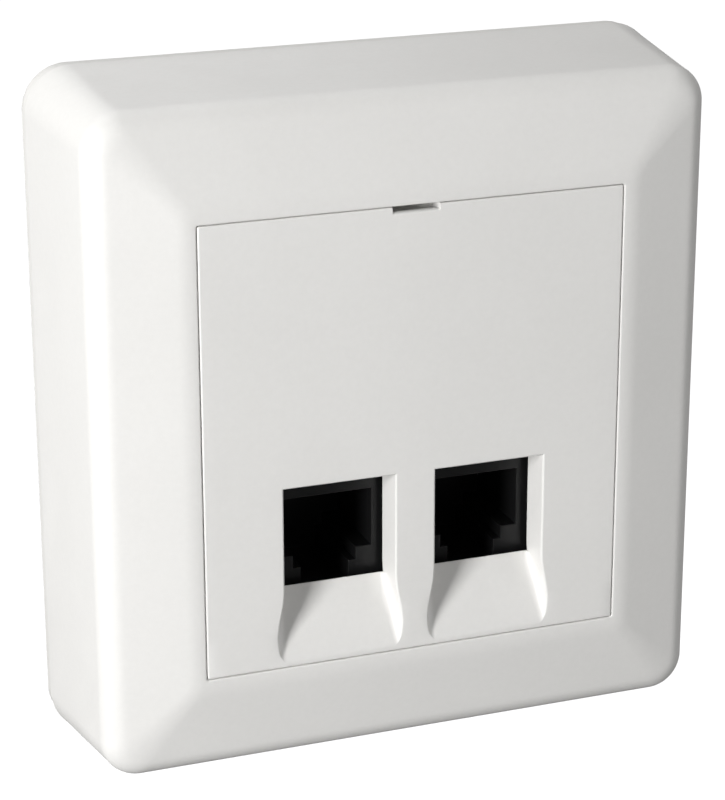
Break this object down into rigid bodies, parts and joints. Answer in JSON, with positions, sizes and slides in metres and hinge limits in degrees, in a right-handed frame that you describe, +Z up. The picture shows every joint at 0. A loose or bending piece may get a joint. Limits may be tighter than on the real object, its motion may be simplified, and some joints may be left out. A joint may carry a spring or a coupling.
{
  "type": "surface mount jack box",
  "caption": "Square wall-mounted outlet box with sloping front frame, flush centre plate and side-by-side modular jacks behind scooped windows.",
  "frame": {"origin": "middle of the base plate's rear face, on the wall", "axes": "+Z up the wall, +Y into the wall, the front faces -Y, +X to the right seen from the front"},
  "size_m": [0.0796, 0.024, 0.084],
  "materials": {
    "shell_white": "satin",
    "base_white": "fine matt grain",
    "jack_black": "moulded, slightly glossy",
    "comb_grey": "matt",
    "contact_gold": "gold plated",
    "board_green": "coated laminate",
    "block_ivory": "matt",
    "contact_tin": "tin plated",
    "screw_steel": "zinc plated",
    "clamp_grey": "matt",
    "bush_rubber": "soft matt"
  },
  "bodies": {
    "base": {"base_plate": "base_white", "carrier_frame": "base_white", "circuit_board": "board_green", "jack_housing_left": "jack_black", "jack_housing_right": "jack_black", "contact_comb_left": "comb_grey", "contact_comb_right": "comb_grey", "idc_block_left": "block_ivory", "idc_block_right": "block_ivory", "idc_contacts_left": "contact_tin", "idc_contacts_right": "contact_tin", "board_screws": "screw_steel", "carrier_screws": "screw_steel", "clamp_screws": "screw_steel", "cable_clamp": "clamp_grey", "cable_grommet": "bush_rubber"},
    "hood": {"hood": "shell_white"},
    "centre_plate": {"centre_plate": "shell_white"},
    "wires_left": {"contact_wires_left": "contact_gold"},
    "wires_right": {"contact_wires_right": "contact_gold"}
  },
  "joints": [
    {"name": "hood_pull", "type": "slide", "parent": "base", "child": "hood", "axis": [0, -1, 0], "range_m": [0, 0.035]},
    {"name": "plate_pull", "type": "slide", "parent": "hood", "child": "centre_plate", "axis": [0, -1, 0], "range_m": [0, 0.025]},
    {"name": "wires_left_flex", "type": "hinge", "parent": "base", "child": "wires_left", "pos_m": [0, -0.0164, -0.00875], "axis": [1, 0, 0], "range_deg": [0, 14], "stiffness_Nm_per_rad": 0.003},
    {"name": "wires_right_flex", "type": "hinge", "parent": "base", "child": "wires_right", "pos_m": [0, -0.0164, -0.00875], "axis": [1, 0, 0], "range_deg": [0, 14], "stiffness_Nm_per_rad": 0.003}
  ]
}
